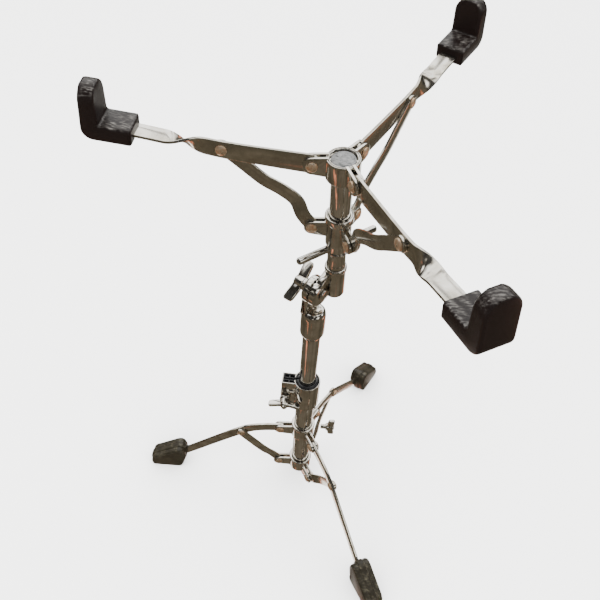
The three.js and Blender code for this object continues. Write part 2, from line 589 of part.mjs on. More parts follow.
spokes(stand, LEG_AZIMUTH, (plane, k) => {
  const cheeks = LEG.thick / 2 + GAP + 2.8 + GAP;
  const braceCheeks = LEG_BRACE.thick / 2 + GAP + 2.8 + GAP;
  const legFace = LEG.thick / 2;
  addPiece(plane, `leg_${k}`, leg(), chrome);
  addPiece(plane, `leg_brace_${k}`, legBrace(), chrome);
  addPiece(plane, `foot_${k}`, foot(), dustyRubber);
  addPiece(plane, `leg_pivot_rivet_${k}`, rivet(UPPER_HUB.pivotR, UPPER_HUB.pivotZ, -cheeks, cheeks), brass);
  addPiece(plane, `leg_brace_rivet_${k}`,
    rivet(LEG_JOINT.r, LEG_JOINT.z, -legFace - GAP, legFace, [true, false]), brass);
  addPiece(plane, `lower_hub_rivet_${k}`,
    rivet(LOWER_HUB.pivotR, LOWER_HUB.pivotZ, -braceCheeks, braceCheeks), brass);
});

const clamp = new THREE.Group();
clamp.rotation.z = CLAMP.azimuth;
stand.add(clamp);
addPiece(clamp, 'clamp_band', clampBand(), chrome);
addPiece(clamp, 'clamp_insert', clampInsert(), blackPlastic);
addPiece(clamp, 'clamp_bolt', clampBolt(), chrome);
const clampNut = addPiece(clamp, 'clamp_wing_nut', wings(13, 6.5, 38, 3, 4).subtract(tiltBore(3 + GAP)), chrome);
clampNut.rotation.set(Math.PI / 2, 0, Math.PI / 2, 'ZYX');
clampNut.position.set(CLAMP.boltR, 7.5, CLAMP.boltZ);

addPiece(stand, 'height_tube', heightTube(), chrome);

const tilter = new THREE.Group();
tilter.position.z = PIVOT_Z;
tilter.rotation.z = TILT_AZIMUTH;
stand.add(tilter);
addPiece(tilter, 'tilter_lower', tilterLower(), chrome);
addPiece(tilter, 'tilter_bolt', tilterBolt(), chrome);
addPiece(tilter, 'tilter_washer', washer(4 + GAP, 8, -10.6, -8.9), chrome);
const tiltNut = addPiece(tilter, 'tilter_wing_nut', wings(14, 6.8, 46, 4, 5).subtract(tiltBore(4 + GAP)), chrome);
tiltNut.rotation.set(-32 * DEG, 0, Math.PI, 'ZYX');
tiltNut.position.x = -10.9;

const leaning = new THREE.Group();
leaning.rotation.x = REST_TILT;
tilter.add(leaning);
addPiece(leaning, 'tilter_upper', tilterUpper(), chrome);

const basket = new THREE.Group();
basket.position.set(POST_AXIS.along, POST_AXIS.behind, HUB_UP);
leaning.add(basket);
addPiece(basket, 'basket_post', basketPost(), chrome);
addPiece(basket, 'arm_hub', armHub(), chrome);
addPiece(basket, 'hub_cap', hubCap(), scratchedSteel);
addPiece(basket, 'slider_hub', sliderHub(), chrome);

const adjuster = new THREE.Group();
adjuster.rotation.z = 68 * DEG - Math.PI / 2;
basket.add(adjuster);
addPiece(adjuster, 'adjuster_nut', adjusterNut(), chrome);
addPiece(adjuster, 'adjuster_handle_1', adjusterHandle(1), chrome);
addPiece(adjuster, 'adjuster_handle_2', adjusterHandle(-1), chrome);

spokes(basket, ARM_AZIMUTH, (plane, k) => {
  const cheeks = ARM.thick / 2 + GAP + 2.8 + GAP;
  const outerCheek = ARM_BRACE.thick / 2 + GAP + 2.6 + GAP;
  addPiece(plane, `arm_${k}`, arm(), chrome);
  addPiece(plane, `arm_brace_${k}`, armBrace(), chrome);
  addPiece(plane, `arm_grip_${k}`, armGrip(), blackRubber);
  addPiece(plane, `arm_pivot_rivet_${k}`, rivet(ARM_PIVOT.r, ARM_PIVOT.z, -cheeks, cheeks), brass);
  addPiece(plane, `arm_brace_rivet_${k}`, rivet(ARM_JOINT.r, ARM_JOINT.z,
    -ARM_BRACE_ASIDE - ARM_BRACE.thick / 2 - GAP, ARM.thick / 2 + GAP), brass);
  addPiece(plane, `slider_rivet_${k}`, rivet(SLIDER.pivotR, SLIDER.pivotZ, -outerCheek,
    -ARM_BRACE.thick / 2 - GAP, [true, false]), brass);
});

const footprint = new THREE.Box3().setFromObject(stand, true).getCenter(new THREE.Vector3());
stand.position.set(-footprint.x, -footprint.y, 0);

export default stand;
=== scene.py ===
"""Looks of a folding snare drum stand: polished and worn chrome, brass rivets, black rubber.

Every new surface is a grid of points worked out with numpy, in metres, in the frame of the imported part.
Lengths are written in millimetres and turned to metres by MM.
"""
import json
import math

import bmesh
import bpy
import numpy as np
from mathutils import Matrix, Vector


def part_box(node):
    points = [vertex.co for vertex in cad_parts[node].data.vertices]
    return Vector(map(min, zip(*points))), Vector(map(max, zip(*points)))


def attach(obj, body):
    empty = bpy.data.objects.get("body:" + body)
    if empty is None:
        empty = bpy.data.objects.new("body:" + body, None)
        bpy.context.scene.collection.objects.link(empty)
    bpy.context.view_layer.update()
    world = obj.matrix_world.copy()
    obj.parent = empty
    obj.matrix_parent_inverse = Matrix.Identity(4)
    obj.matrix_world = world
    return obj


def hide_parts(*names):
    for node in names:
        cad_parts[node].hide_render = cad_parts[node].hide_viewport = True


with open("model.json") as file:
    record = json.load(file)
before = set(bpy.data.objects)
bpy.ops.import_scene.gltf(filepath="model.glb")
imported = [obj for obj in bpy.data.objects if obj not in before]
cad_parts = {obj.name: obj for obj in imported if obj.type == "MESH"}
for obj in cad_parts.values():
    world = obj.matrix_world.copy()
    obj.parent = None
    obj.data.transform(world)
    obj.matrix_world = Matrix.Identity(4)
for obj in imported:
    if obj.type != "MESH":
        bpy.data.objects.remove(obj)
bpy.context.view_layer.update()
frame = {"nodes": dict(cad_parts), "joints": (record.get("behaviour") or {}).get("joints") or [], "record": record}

MM = 0.001
GAP = 0.3                                   # air between neighbouring pieces
JOINTS = {joint["name"]: joint for joint in frame["joints"]}
BODY_OF = {node: body for body, nodes in frame["record"]["behaviour"]["bodies"].items() for node in nodes}


# ---------------------------------------------------------------- frames of the moving pieces
def basis(x, y, z, origin):
    """A 4x4 placement from three axes and an origin, as a numpy array."""
    placed = np.eye(4)
    placed[:3, 0], placed[:3, 1], placed[:3, 2], placed[:3, 3] = x, y, z, origin
    return placed


UP = np.array([0.0, 0.0, 1.0])
TUBE_AXIS = np.array([*np.mean(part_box("base_tube"), axis=0)[:2], 0.0])
POST_UP = np.array(JOINTS["slider_lift"]["axis"])

# Rivets as (outward, up) in a radial plane: the basket's from its hub's centre, the base's from the floor.
ARM_PIVOT, SLIDER_PIVOT, ARM_JOINT = (25.2, -2.0), (24.2, -72.0), (100.2, 5.0)
LEG_PIVOT, LOW_PIVOT, LEG_JOINT = (29.0, 107.0), (29.0, 23.0), (80.0, 91.5)


def arm_plane(k):
    """The radial plane of arm k: x outward, y sideways, z along the post, from the hub's centre."""
    joint = JOINTS[f"arm_{k}_fold"]
    y = -np.array(joint["axis"])
    x = np.cross(y, POST_UP)
    origin = np.array(joint["pos_m"]) - MM * (ARM_PIVOT[0] * x + ARM_PIVOT[1] * POST_UP)
    return basis(x, y, POST_UP, origin)


def leg_plane(k):
    """The radial plane of leg k: x outward, y sideways, z up, from the floor under the base tube."""
    y = np.array(JOINTS[f"leg_{k}_fold"]["axis"])
    return basis(np.cross(y, UP), y, UP, TUBE_AXIS)


HUB = arm_plane(1)                          # also for what is turned about the post
TUBE = basis([1, 0, 0], [0, 1, 0], UP, TUBE_AXIS)


# ---------------------------------------------------------------- materials
def linear(code):
    """An sRGB hex colour as linear RGBA."""
    part = [int(code[i:i + 2], 16) / 255 for i in (1, 3, 5)]
    return [c / 12.92 if c <= 0.04045 else ((c + 0.055) / 1.055) ** 2.4 for c in part] + [1.0]


def add(tree, kind, links=None, **settings):
    """Adds one node. Keys of links are input names or numbers, and a setting is a property or an input."""
    node = tree.nodes.new(kind)
    for key, value in settings.items():
        if hasattr(node, key):
            setattr(node, key, value)
        else:
            node.inputs[key.replace("_", " ")].default_value = value
    for key, source in (links or {}).items():
        tree.links.new(source, node.inputs[key])
    return node


def new_material(name):
    material = bpy.data.materials.new(name)
    material.use_nodes = True
    tree = material.node_tree
    tree.nodes.clear()
    return material, tree


def finish_material(tree, **shader):
    """The Principled shader and the output. Values go on its own sockets, sockets are linked to it."""
    surface = add(tree, "ShaderNodeBsdfPrincipled")
    for key, value in shader.items():
        socket = surface.inputs[key.replace("_", " ")]
        if isinstance(value, bpy.types.NodeSocket):
            tree.links.new(value, socket)
        else:
            socket.default_value = value
    add(tree, "ShaderNodeOutputMaterial", {"Surface": surface.outputs[0]})


def noise(tree, place, grain_mm, detail=4.0, stretch=None, wobble=0.0):
    """Noise whose spots are about grain_mm across, with an optional stretch or wobble of the pattern."""
    if stretch:
        place = add(tree, "ShaderNodeMapping", {"Vector": place}, Scale=stretch).outputs[0]
    return add(tree, "ShaderNodeTexNoise", {"Vector": place}, Scale=1 / (grain_mm * MM), Detail=detail,
               Distortion=wobble).outputs[0]


def arithmetic(tree, operation, first, second):
    """One sum, product or greater-of-two of two node outputs."""
    return add(tree, "ShaderNodeMath", {0: first, 1: second}, operation=operation).outputs[0]


def spread(tree, value, low, high, to_low=0.0, to_high=1.0):
    """Maps a value from low..high to to_low..to_high and holds it there."""
    return add(tree, "ShaderNodeMapRange", {"Value": value}, From_Min=low, From_Max=high,
               To_Min=to_low, To_Max=to_high).outputs[0]


def blend_colours(tree, share, first, second):
    """Mixes two colours, each a hex code or a node's output, by a value."""
    mix = add(tree, "ShaderNodeMix", data_type="RGBA")
    tree.links.new(share, mix.inputs["Factor"])
    for key, colour in (("A", first), ("B", second)):
        if isinstance(colour, str):
            mix.inputs[key].default_value = linear(colour)
        else:
            tree.links.new(colour, mix.inputs[key])
    return mix.outputs["Result"]


def ramp(tree, value, *steps):
    """A colour ramp from (position, hex colour) steps."""
    node = add(tree, "ShaderNodeValToRGB", {0: value})
    stops = node.color_ramp.elements
    for number, (position, code) in enumerate(steps):
        stop = stops[number] if number < 2 else stops.new(position)
        stop.position, stop.color = position, linear(code)
    return node.outputs[0]


def chrome_plate(name, bright, dull, smooth, rough, pit_mm=0.7, pits=0.0):
    """Decorative chrome on steel: a mirror with handling haze, hairline scratches and small pits."""
    material, tree = new_material(name)
    place = add(tree, "ShaderNodeTexCoord").outputs["Object"]
    haze = noise(tree, place, 14, 5.0)
    hairlines = noise(tree, place, 0.9, 3.0, stretch=(1, 1, 0.12))
    specks = noise(tree, place, pit_mm, 6.0)
    tint = blend_colours(tree, spread(tree, haze, 0.35, 0.7), bright, dull)
    roughness = spread(tree, haze, 0.3, 0.75, smooth, rough)
    height = arithmetic(tree, "ADD", spread(tree, specks, 0.62, 0.72, 0.0, pits), hairlines)
    bump = add(tree, "ShaderNodeBump", {"Height": height}, Strength=0.05, Distance=0.1 * MM).outputs[0]
    finish_material(tree, Base_Color=tint, Metallic=1.0, Roughness=roughness, Normal=bump)
    return material


def brass_metal():
    """Cold-headed brass rivets: warm yellow metal, tarnished brown in patches."""
    material, tree = new_material("tumbled brass")
    place = add(tree, "ShaderNodeTexCoord").outputs["Object"]
    tarnish = noise(tree, place, 3.5, 5.0)
    tint = blend_colours(tree, spread(tree, tarnish, 0.4, 0.66), "#f6dfc2", "#d3a983")
    bump = add(tree, "ShaderNodeBump", {"Height": noise(tree, place, 0.8)}, Strength=0.12, Distance=0.1 * MM)
    finish_material(tree, Base_Color=tint, Metallic=1.0, Roughness=spread(tree, tarnish, 0.3, 0.7, 0.24, 0.4),
                    Normal=bump.outputs[0])
    return material


def worn_cap_steel():
    """Bare steel on the hub's cap: mid grey, scribbled over with short dark and light curved scratches."""
    material, tree = new_material("worn turned steel")
    place = add(tree, "ShaderNodeTexCoord").outputs["Object"]
    wander = noise(tree, place, 5, 3.0, wobble=2.2)
    finer = noise(tree, place, 2.4, 2.0, wobble=1.6)
    tint = ramp(tree, wander, (0.0, "#3c3d3d"), (0.38, "#747574"), (0.43, "#060606"), (0.47, "#8c8d8c"),
                (0.50, "#262727"), (0.535, "#060606"), (0.57, "#868786"), (0.62, "#101010"), (1.0, "#6a6b6a"))
    tint = blend_colours(tree, spread(tree, finer, 0.54, 0.60, 0.0, 0.2), tint, "#7a7b79")
    bump = add(tree, "ShaderNodeBump", {"Height": wander}, Strength=0.3, Distance=0.15 * MM)
    finish_material(tree, Base_Color=tint, Metallic=0.25, Roughness=0.5, Normal=bump.outputs[0])
    return material


def moulded_rubber(name, base, worn, dust, rub_from, rub_to, grain_mm=0.5, side_top_light_share=0.0):
    """Moulded rubber: matte and finely pitted, with grey rub streaks that are also painted top light, kept to the
    faces that look up.
    """
    material, tree = new_material(name)
    coordinates = add(tree, "ShaderNodeTexCoord")
    place = coordinates.outputs["Object"]
    facing = add(tree, "ShaderNodeSeparateXYZ", {0: coordinates.outputs["Normal"]}).outputs["Z"]
    patches = noise(tree, place, 7, 6.0)
    streaks = noise(tree, place, 1.3, 5.0, stretch=(0.25, 1, 1))
    pores = noise(tree, place, grain_mm, 3.0)
    rub_and_top_light = arithmetic(tree, "MULTIPLY", spread(tree, patches, rub_from, rub_to),
                        spread(tree, streaks, 0.46, 0.66))
    # Painted top light: the streaks' grey is kept to faces that look up, and is weaker on upright sides.
    rub_and_top_light = arithmetic(tree, "MULTIPLY", rub_and_top_light, spread(tree, facing, 0.3, 0.85, side_top_light_share, 1.0))
    # worn is the grey of rub marks and also of painted light on the tops.
    body = blend_colours(tree, rub_and_top_light, base, worn)
    dusty = blend_colours(tree, spread(tree, pores, 0.56, 0.74, 0.0, 0.3), body, dust)
    relief = arithmetic(tree, "ADD", pores, streaks)
    bump = add(tree, "ShaderNodeBump", {"Height": relief}, Strength=0.3, Distance=0.2 * MM).outputs[0]
    finish_material(tree, Base_Color=dusty, Metallic=0.0,
                    Roughness=spread(tree, rub_and_top_light, 0.0, 0.8, 0.3, 0.55), Normal=bump, IOR=1.36)
    return material


def clamp_nylon():
    """Black injection-moulded nylon: nearly smooth, with a faint orange-peel."""
    material, tree = new_material("moulded nylon")
    place = add(tree, "ShaderNodeTexCoord").outputs["Object"]
    peel = noise(tree, place, 1.2, 2.0)
    bump = add(tree, "ShaderNodeBump", {"Height": peel}, Strength=0.15, Distance=0.15 * MM)
    finish_material(tree, Base_Color=blend_colours(tree, noise(tree, place, 6), "#050506", "#0b0b0c"),
                    Roughness=spread(tree, peel, 0.3, 0.7, 0.16, 0.3), Normal=bump.outputs[0], IOR=1.52)
    return material


# The tubes are the brightest and most even mirror. The flat strips are duller, with pits that break up their
# reflections. The castings lie between. Brass gives each pivot a warm dot, the cap a grey scribbled disc, and
# the rubbers a soft near-black with painted light on their tops, mixed with grey rub streaks; the nylon is a
# harder, glossier black.
TUBE_CHROME = chrome_plate("chrome on drawn tube", "#e8e6e1", "#cfcbc2", 0.03, 0.10)
STRIP_CHROME = chrome_plate("chrome on flat steel", "#dedad1", "#aea899", 0.07, 0.22, pit_mm=0.9, pits=1.2)
CAST_CHROME = chrome_plate("chrome on casting", "#e4e1da", "#c2bdb2", 0.05, 0.14, pits=0.6)
RIVET_BRASS = brass_metal()
CAP_STEEL = worn_cap_steel()
# Each rubber's second colour is the grey of rub streaks and of painted top light.
GRIP_RUBBER = moulded_rubber("moulded grip rubber", "#0a0504", "#5a5753", "#150e0b", 0.36, 0.70)
FOOT_RUBBER = moulded_rubber("moulded foot rubber", "#15120b", "#4a4535", "#262116", 0.42, 0.75, grain_mm=0.9,
                             side_top_light_share=0.35)
NYLON = clamp_nylon()


# ---------------------------------------------------------------- surfaces
def put(name, points, faces, body, material, slot, *stands_for):
    """Makes the mesh, smooth-shaded with sharp edges kept, and lets it ride on its body."""
    mesh = bpy.data.meshes.new(name)
    mesh.from_pydata(points.tolist(), [], faces)
    finish_mesh(mesh)
    return settle(bpy.data.objects.new(name, mesh), body, material, slot, *stands_for)


def finish_mesh(mesh, sharp_degrees=38):
    shell = bmesh.new()
    shell.from_mesh(mesh)
    bmesh.ops.remove_doubles(shell, verts=shell.verts, dist=1e-6)
    bmesh.ops.dissolve_degenerate(shell, edges=shell.edges, dist=1e-7)
    bmesh.ops.recalc_face_normals(shell, faces=shell.faces)
    shell.to_mesh(mesh)
    shell.free()
    mesh.shade_smooth()
    mesh.set_sharp_from_angle(angle=math.radians(sharp_degrees))


def settle(piece, body, material, slot, *stands_for):
    bpy.context.scene.collection.objects.link(piece)
    piece.data.materials.clear()
    piece.data.materials.append(material)
    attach(piece, body)
    if stands_for:
        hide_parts(*stands_for)
    return piece


def net(rows, columns, wrap_rows=False, wrap_columns=True):
    """Quads between neighbouring points of a grid that is stored row by row."""
    i = np.arange(rows if wrap_rows else rows - 1)[:, None]
    j = np.arange(columns if wrap_columns else columns - 1)[None, :]
    i2, j2 = (i + 1) % rows, (j + 1) % columns
    quads = np.stack([i * columns + j, i * columns + j2, i2 * columns + j2, i2 * columns + j], -1)
    return quads.reshape(-1, 4).tolist()


def lids(rows, columns):
    """The two end faces of a grid whose rows are closed rings."""
    return [list(range(columns))[::-1], [(rows - 1) * columns + c for c in range(columns)]]


def placed(points, placement):
    """Millimetres in a local placement to metres in the part's frame."""
    flat = np.asarray(points, float).reshape(-1, 3) * MM
    return flat @ placement[:3, :3].T + placement[:3, 3]


def eased(profile, radius, steps=4, closed=False):
    """Rounds each inner corner of a profile: a quadratic curve from radius before it to radius after it."""
    corners = np.asarray(profile, float)
    count = len(corners)
    t = np.linspace(0, 1, steps)[:, None]
    parts = []
    for i in range(count):
        here = corners[i]
        if not closed and i in (0, count - 1):
            parts.append(here[None])
            continue
        before, after = corners[i - 1] - here, corners[(i + 1) % count] - here
        first = here + before * min(radius / max(np.linalg.norm(before), 1e-9), 0.45)
        last = here + after * min(radius / max(np.linalg.norm(after), 1e-9), 0.45)
        parts.append((1 - t) ** 2 * first + 2 * t * (1 - t) * here + t ** 2 * last)
    return np.vstack(parts)


def turned(profile, ease=0.35, sides=72, closed=False):
    """A profile of [radius, height] carried round the z axis: x = r cos a, y = r sin a, z = height.

    A closed profile makes a ring. An open one starts and ends near the axis, and is closed there with lids."""
    line = eased(profile, ease, closed=closed)
    angle = np.linspace(0, 2 * math.pi, sides, endpoint=False)[None, :]
    radius, height = line[:, :1], line[:, 1:]
    grid = np.stack([radius * np.cos(angle), radius * np.sin(angle), height + 0 * angle], -1)
    return grid, net(len(line), sides, wrap_rows=closed) + ([] if closed else lids(len(line), sides))


def smooth_line(points, samples):
    """A centripetal Catmull-Rom curve through the points, sampled evenly by length, with its tangents."""
    knots = np.asarray(points, float)
    ends = [2 * knots[:1] - knots[1:2], knots, 2 * knots[-1:] - knots[-2:-1]]
    knots = np.vstack(ends)
    t = np.linspace(0, 1, 40, endpoint=False)[:, None]
    pieces = []
    for a, b, c, d in zip(knots, knots[1:], knots[2:], knots[3:]):
        ab, bc, cd = (math.sqrt(np.linalg.norm(q - p)) for p, q in ((a, b), (b, c), (c, d)))
        out = bc * ((b - a) / ab - (c - a) / (ab + bc) + (c - b) / bc)
        into = bc * ((c - b) / bc - (d - b) / (bc + cd) + (d - c) / cd)
        pieces.append((2 * t ** 3 - 3 * t ** 2 + 1) * b + (t ** 3 - 2 * t ** 2 + t) * out
                      + (-2 * t ** 3 + 3 * t ** 2) * c + (t ** 3 - t ** 2) * into)
    fine = np.vstack([*pieces, knots[-2:-1]])
    reach = np.concatenate([[0], np.cumsum(np.linalg.norm(np.diff(fine, axis=0), axis=1))])
    even = np.linspace(0, reach[-1], samples)
    line = np.stack([np.interp(even, reach, fine[:, i]) for i in range(3)], -1)
    tangent = np.gradient(line, axis=0)
    return line, tangent / np.linalg.norm(tangent, axis=1, keepdims=True), reach[-1]


def rounded_section(arc=4):
    """A rectangle's outline with round corners: each row holds the corner's signs and its arc's direction."""
    quarter = np.linspace(0, math.pi / 2, arc)
    rows = []
    for turn, (sx, sy) in enumerate(((1, 1), (-1, 1), (-1, -1), (1, -1))):
        angle = quarter + turn * math.pi / 2
        rows.append(np.stack([np.full(arc, sx), np.full(arc, sy), np.cos(angle), np.sin(angle)], -1))
    return np.vstack(rows)


def strip(points, high, thick, twist=None, round_start=0, round_end=0, samples=120, edge=0.5):
    """A flat bar on edge swept along a smooth line, with rolled edges, an optional twist and round ends.

    high is a function of the length share. Each ring is the section's outline: the bar's thickness
    lies sideways and its height lies at right angles to the line."""
    line, tangent, length = smooth_line(points, samples)
    share = np.linspace(0, 1, samples)
    heights = high(share) + 0 * share
    turn = twist(share) if twist else 0 * share

    def cap(index, radius, sign):
        angle = np.linspace(math.radians(88), math.radians(8), 12)
        centre = line[index] + sign * radius * np.sin(angle)[:, None] * tangent[index]
        return centre, np.repeat(tangent[index][None], 12, 0), 2 * radius * np.cos(angle), turn[index] + 0 * angle

    sets = [(line, tangent, heights, turn)]
    if round_start:
        sets.insert(0, cap(0, round_start, -1))
    if round_end:
        sets.append(tuple(part[::-1] for part in cap(-1, round_end, 1)))
    line, tangent, heights, turn = (np.concatenate(parts) for parts in zip(*sets))
    up = np.cross(tangent, [0, 1, 0])
    up /= np.linalg.norm(up, axis=1, keepdims=True)
    side = np.cross(up, tangent)
    tall = up * np.cos(turn)[:, None] + side * np.sin(turn)[:, None]
    wide = side * np.cos(turn)[:, None] - up * np.sin(turn)[:, None]
    section = rounded_section()
    edge = np.minimum(edge, heights / 2.2)[:, None]
    across = (thick / 2 - edge) * section[:, 0] + edge * section[:, 2]
    tallness = (heights[:, None] / 2 - edge) * section[:, 1] + edge * section[:, 3]
    grid = line[:, None] + across[..., None] * wide[:, None] + tallness[..., None] * tall[:, None]
    rows, columns = grid.shape[:2]
    return grid, net(rows, columns) + lids(rows, columns)


def cast_copy(node, ease_mm, material, slot, sharp=34):
    """A casting's own solid, its facets joined and every hard edge rounded by ease_mm."""
    mesh = frame["nodes"][node].data.copy()
    shell = bmesh.new()
    shell.from_mesh(mesh)
    bmesh.ops.remove_doubles(shell, verts=shell.verts, dist=2e-6)
    bmesh.ops.dissolve_limit(shell, angle_limit=math.radians(1), verts=shell.verts, edges=shell.edges)
    shell.to_mesh(mesh)
    shell.free()
    mesh.shade_smooth()
    mesh.set_sharp_from_angle(angle=math.radians(sharp))
    piece = bpy.data.objects.new("plated_" + node, mesh)
    settle(piece, BODY_OF[node], material, slot, node)
    rounding = piece.modifiers.new("eased edges", "BEVEL")
    rounding.width = ease_mm * MM
    rounding.segments = 3
    rounding.limit_method = "ANGLE"
    rounding.angle_limit = math.radians(sharp)
    rounding.harden_normals = True
    return piece


def smoothstep(t):
    t = np.clip(t, 0, 1)
    return t * t * (3 - 2 * t)


def slab(line, thick, middle_y=0.0, edge=0.6, rounds=4):
    """A plate: a closed outline in x and z made thick along y, its two rims rolled over by edge.

    Each ring is the outline moved inward by edge (1 - cos t) while y runs to the face by edge sin t."""
    line = np.asarray(line, float)
    along = np.roll(line, -1, 0) - np.roll(line, 1, 0)
    along /= np.linalg.norm(along, axis=1, keepdims=True)
    area = np.sum(line[:, 0] * np.roll(line[:, 1], -1) - line[:, 1] * np.roll(line[:, 0], -1))
    inward = np.stack([-along[:, 1], along[:, 0]], -1) * np.sign(area)
    t = np.linspace(0, math.pi / 2, rounds)
    depth = np.concatenate([edge * (1 - np.cos(t[::-1])), edge * (1 - np.cos(t))])
    y = np.concatenate([-(thick / 2 - edge) - edge * np.sin(t[::-1]), (thick / 2 - edge) + edge * np.sin(t)])
    flat = line[None] + depth[:, None, None] * inward[None]
    grid = np.stack([flat[..., 0], middle_y + y[:, None] + 0 * flat[..., 0], flat[..., 1]], -1)
    rows, columns = grid.shape[:2]
    return grid, net(rows, columns) + lids(rows, columns)


def curve_through(*parts):
    """An outline from straight corners and arcs: an arc is (centre x, centre z, radius, from, to) in degrees."""
    points = []
    for part in parts:
        if len(part) == 2:
            points.append([part])
            continue
        x, z, radius, start, end = part
        angle = np.radians(np.linspace(start, end, max(3, int(abs(end - start) / 7))))
        points.append(np.stack([x + radius * np.cos(angle), z + radius * np.sin(angle)], -1))
    return np.vstack(points)


def even_outline(line, step):
    """The same closed outline with a point every step along it, its corners kept."""
    line = np.asarray(line, float)
    parts = []
    for a, b in zip(line, np.roll(line, -1, 0)):
        count = max(1, int(np.linalg.norm(b - a) / step))
        parts.append(a + (b - a) * np.linspace(0, 1, count, endpoint=False)[:, None])
    return np.vstack(parts)


def spin(shape, degrees):
    """Turns a shape's points about the local z axis."""
    grid, faces = shape
    c, s = math.cos(math.radians(degrees)), math.sin(math.radians(degrees))
    return np.asarray(grid) @ np.array([[c, s, 0], [-s, c, 0], [0, 0, 1]]), faces


def lay(shape, axis):
    """Lays a turned shape's z axis along x or y."""
    grid, faces = shape
    grid = np.asarray(grid)
    return (grid[..., [2, 0, 1]] if axis == "x" else grid[..., [1, 2, 0]]), faces


def shift(shape, x=0.0, y=0.0, z=0.0):
    return np.asarray(shape[0]) + np.array([x, y, z]), shape[1]


def fused(shapes):
    """Several closed shells as one list of points and faces."""
    points, faces, offset = [], [], 0
    for grid, quads in shapes:
        flat = np.asarray(grid).reshape(-1, 3)
        points.append(flat)
        faces += [[index + offset for index in quad] for quad in quads]
        offset += len(flat)
    return np.vstack(points), faces


def piece(node, shapes, placement, material, slot="chrome", prefix="plated_"):
    points, faces = fused(shapes)
    return put(prefix + node, placed(points, placement), faces, BODY_OF[node], material, slot, node)


# ---------------------------------------------------------------- shared shapes
POLE = 0.05                                 # radius at which a turned profile stops short of its axis
RIVET = {"shank": 2.5, "head": 5.0, "dome": 2.2}
HEAD_RIM, RIVET_SIDES = 0.35, 40


def head_profile(radius, height, degrees=(8, 25, 45, 65, 80, 88)):
    """A rivet head as [radius, rise]: a quarter of an ellipse standing on a small rim."""
    angle = np.radians(degrees)
    return np.stack([radius * np.cos(angle), HEAD_RIM + (height - HEAD_RIM) * np.sin(angle)], -1)


def rivet(node, plane, x, z, low, high, heads=(True, True)):
    """A rivet along y from low to high, with a domed head at each end that heads asks for."""
    shank, head, dome = RIVET.values()
    rim = [[head, 0], [head, HEAD_RIM], *head_profile(head, dome)]
    start = [[r, low - rise] for r, rise in rim[::-1]] if heads[0] else [[POLE, low]]
    end = [[r, high + rise] for r, rise in rim] if heads[1] else [[POLE, high]]
    shape = turned([*start, [shank, low], [shank, high], *end], ease=0.05, sides=RIVET_SIDES)
    piece(node, [shift(lay(shape, "y"), x=x, z=z)], plane, RIVET_BRASS, "rivet_brass", "headed_")


def lone_head(name, plane, x, y, z, body):
    """The domed head alone, standing on a face at y, for a side where the rivet has none of its own."""
    radius, height = RIVET["head"], RIVET["dome"]
    line = [[POLE, 0], [radius, 0], *head_profile(radius, height, (0, 8, 25, 45, 65, 80, 88)), [POLE, height]]
    points, faces = shift(lay(turned(line, ease=0.05, sides=RIVET_SIDES), "y"), x, y, z)
    put(f"headed_{name}", placed(points, plane), faces, body, RIVET_BRASS, "rivet_brass")


def cheeks(pivot_r, pivot_z, radius, root, slot, thick):
    """The two cheeks of a clevis: plates from the hub's wall to a round end about the pivot."""
    line = curve_through((root, pivot_z - radius - 1.5), (pivot_r, pivot_z, radius, -90, 90),
                         (root, pivot_z + radius + 1.5))
    line = even_outline(line, 2)
    y = slot / 2 + thick / 2
    return [slab(line, thick, y, 0.55), slab(line, thick, -y, 0.55)]


def clevis_hub(node, boss, placement, pivot, radius, slot, thick, root):
    shapes = [boss]
    for k in range(3):
        shapes += [spin(cheek, 120 * k) for cheek in cheeks(*pivot, radius, root, slot, thick)]
    piece(node, shapes, placement, CAST_CHROME)


def wing_head(length, radius, span, thick, root, width, sweep):
    """A wing head along x: a banded hub, and two flat wings of a width that start at root along the hub and
    lean forward by sweep on their way out to blunt tips."""
    hub = turned([[POLE, 0], [radius, 0], [radius, length * 0.2], [radius * 0.86, length * 0.3],
                  [radius * 0.82, length * 0.7], [radius * 0.66, length], [POLE, length]], ease=0.7, sides=56)
    root = length * root
    front, lead = root + width, root + sweep
    wing = eased([[root, 0.2], [front, 0.2], [front, radius], [front + sweep, span * 0.44],
                  [front + sweep - 1.5, span * 0.5], [lead + 1.5, span * 0.49], [lead, span * 0.43],
                  [root, radius]], 1.3, closed=True)
    upper = slab(wing, thick, 0, 1.1)
    return [lay(hub, "x"), upper, (upper[0] * [1, -1, -1], upper[1])]


def turn_x(degrees):
    return np.array(Matrix.Rotation(math.radians(degrees), 3, "X"))


def turn_z(degrees):
    return np.array(Matrix.Rotation(math.radians(degrees), 3, "Z"))


def wing_place(joint_name, rotation, back=5.0):
    joint = JOINTS[joint_name]
    origin = np.array(joint["pos_m"]) - back * MM * np.array(joint["axis"])
    return basis(*rotation.T, origin)


# ---------------------------------------------------------------- tripod base
BASE_TUBE = {"radius": 11.1, "wall": 1.3, "bottom": 14, "top": 205}
HEIGHT_TUBE = {"radius": 9.5, "wall": 1.2, "bottom": 66, "top": 337}


def pipe(node, radius, wall, bottom, top):
    profile = [[radius - wall, bottom], [radius, bottom], [radius, top], [radius - wall, top]]
    piece(node, [turned(profile, ease=0.5, closed=True)], TUBE, TUBE_CHROME)


LEG_LINE = [[29, 0, 107], [50, 0, 104.5], [67, 0, 99.5], [80, 0, 91.5], [110, 0, 67.5], [153, 0, 31.5],
            [180, 0, 10]]
LEG_THICK, LEG_BRACE_THICK = 3.0, 2.4
LEG_ASIDE = LEG_THICK / 2 + LEG_BRACE_THICK / 2 + GAP   # the brace lies beside the leg


def leg(k):
    piece(f"leg_{k}", [strip(LEG_LINE, lambda s: 14 - 2 * s, LEG_THICK, round_start=7, samples=140)],
          leg_plane(k), STRIP_CHROME)


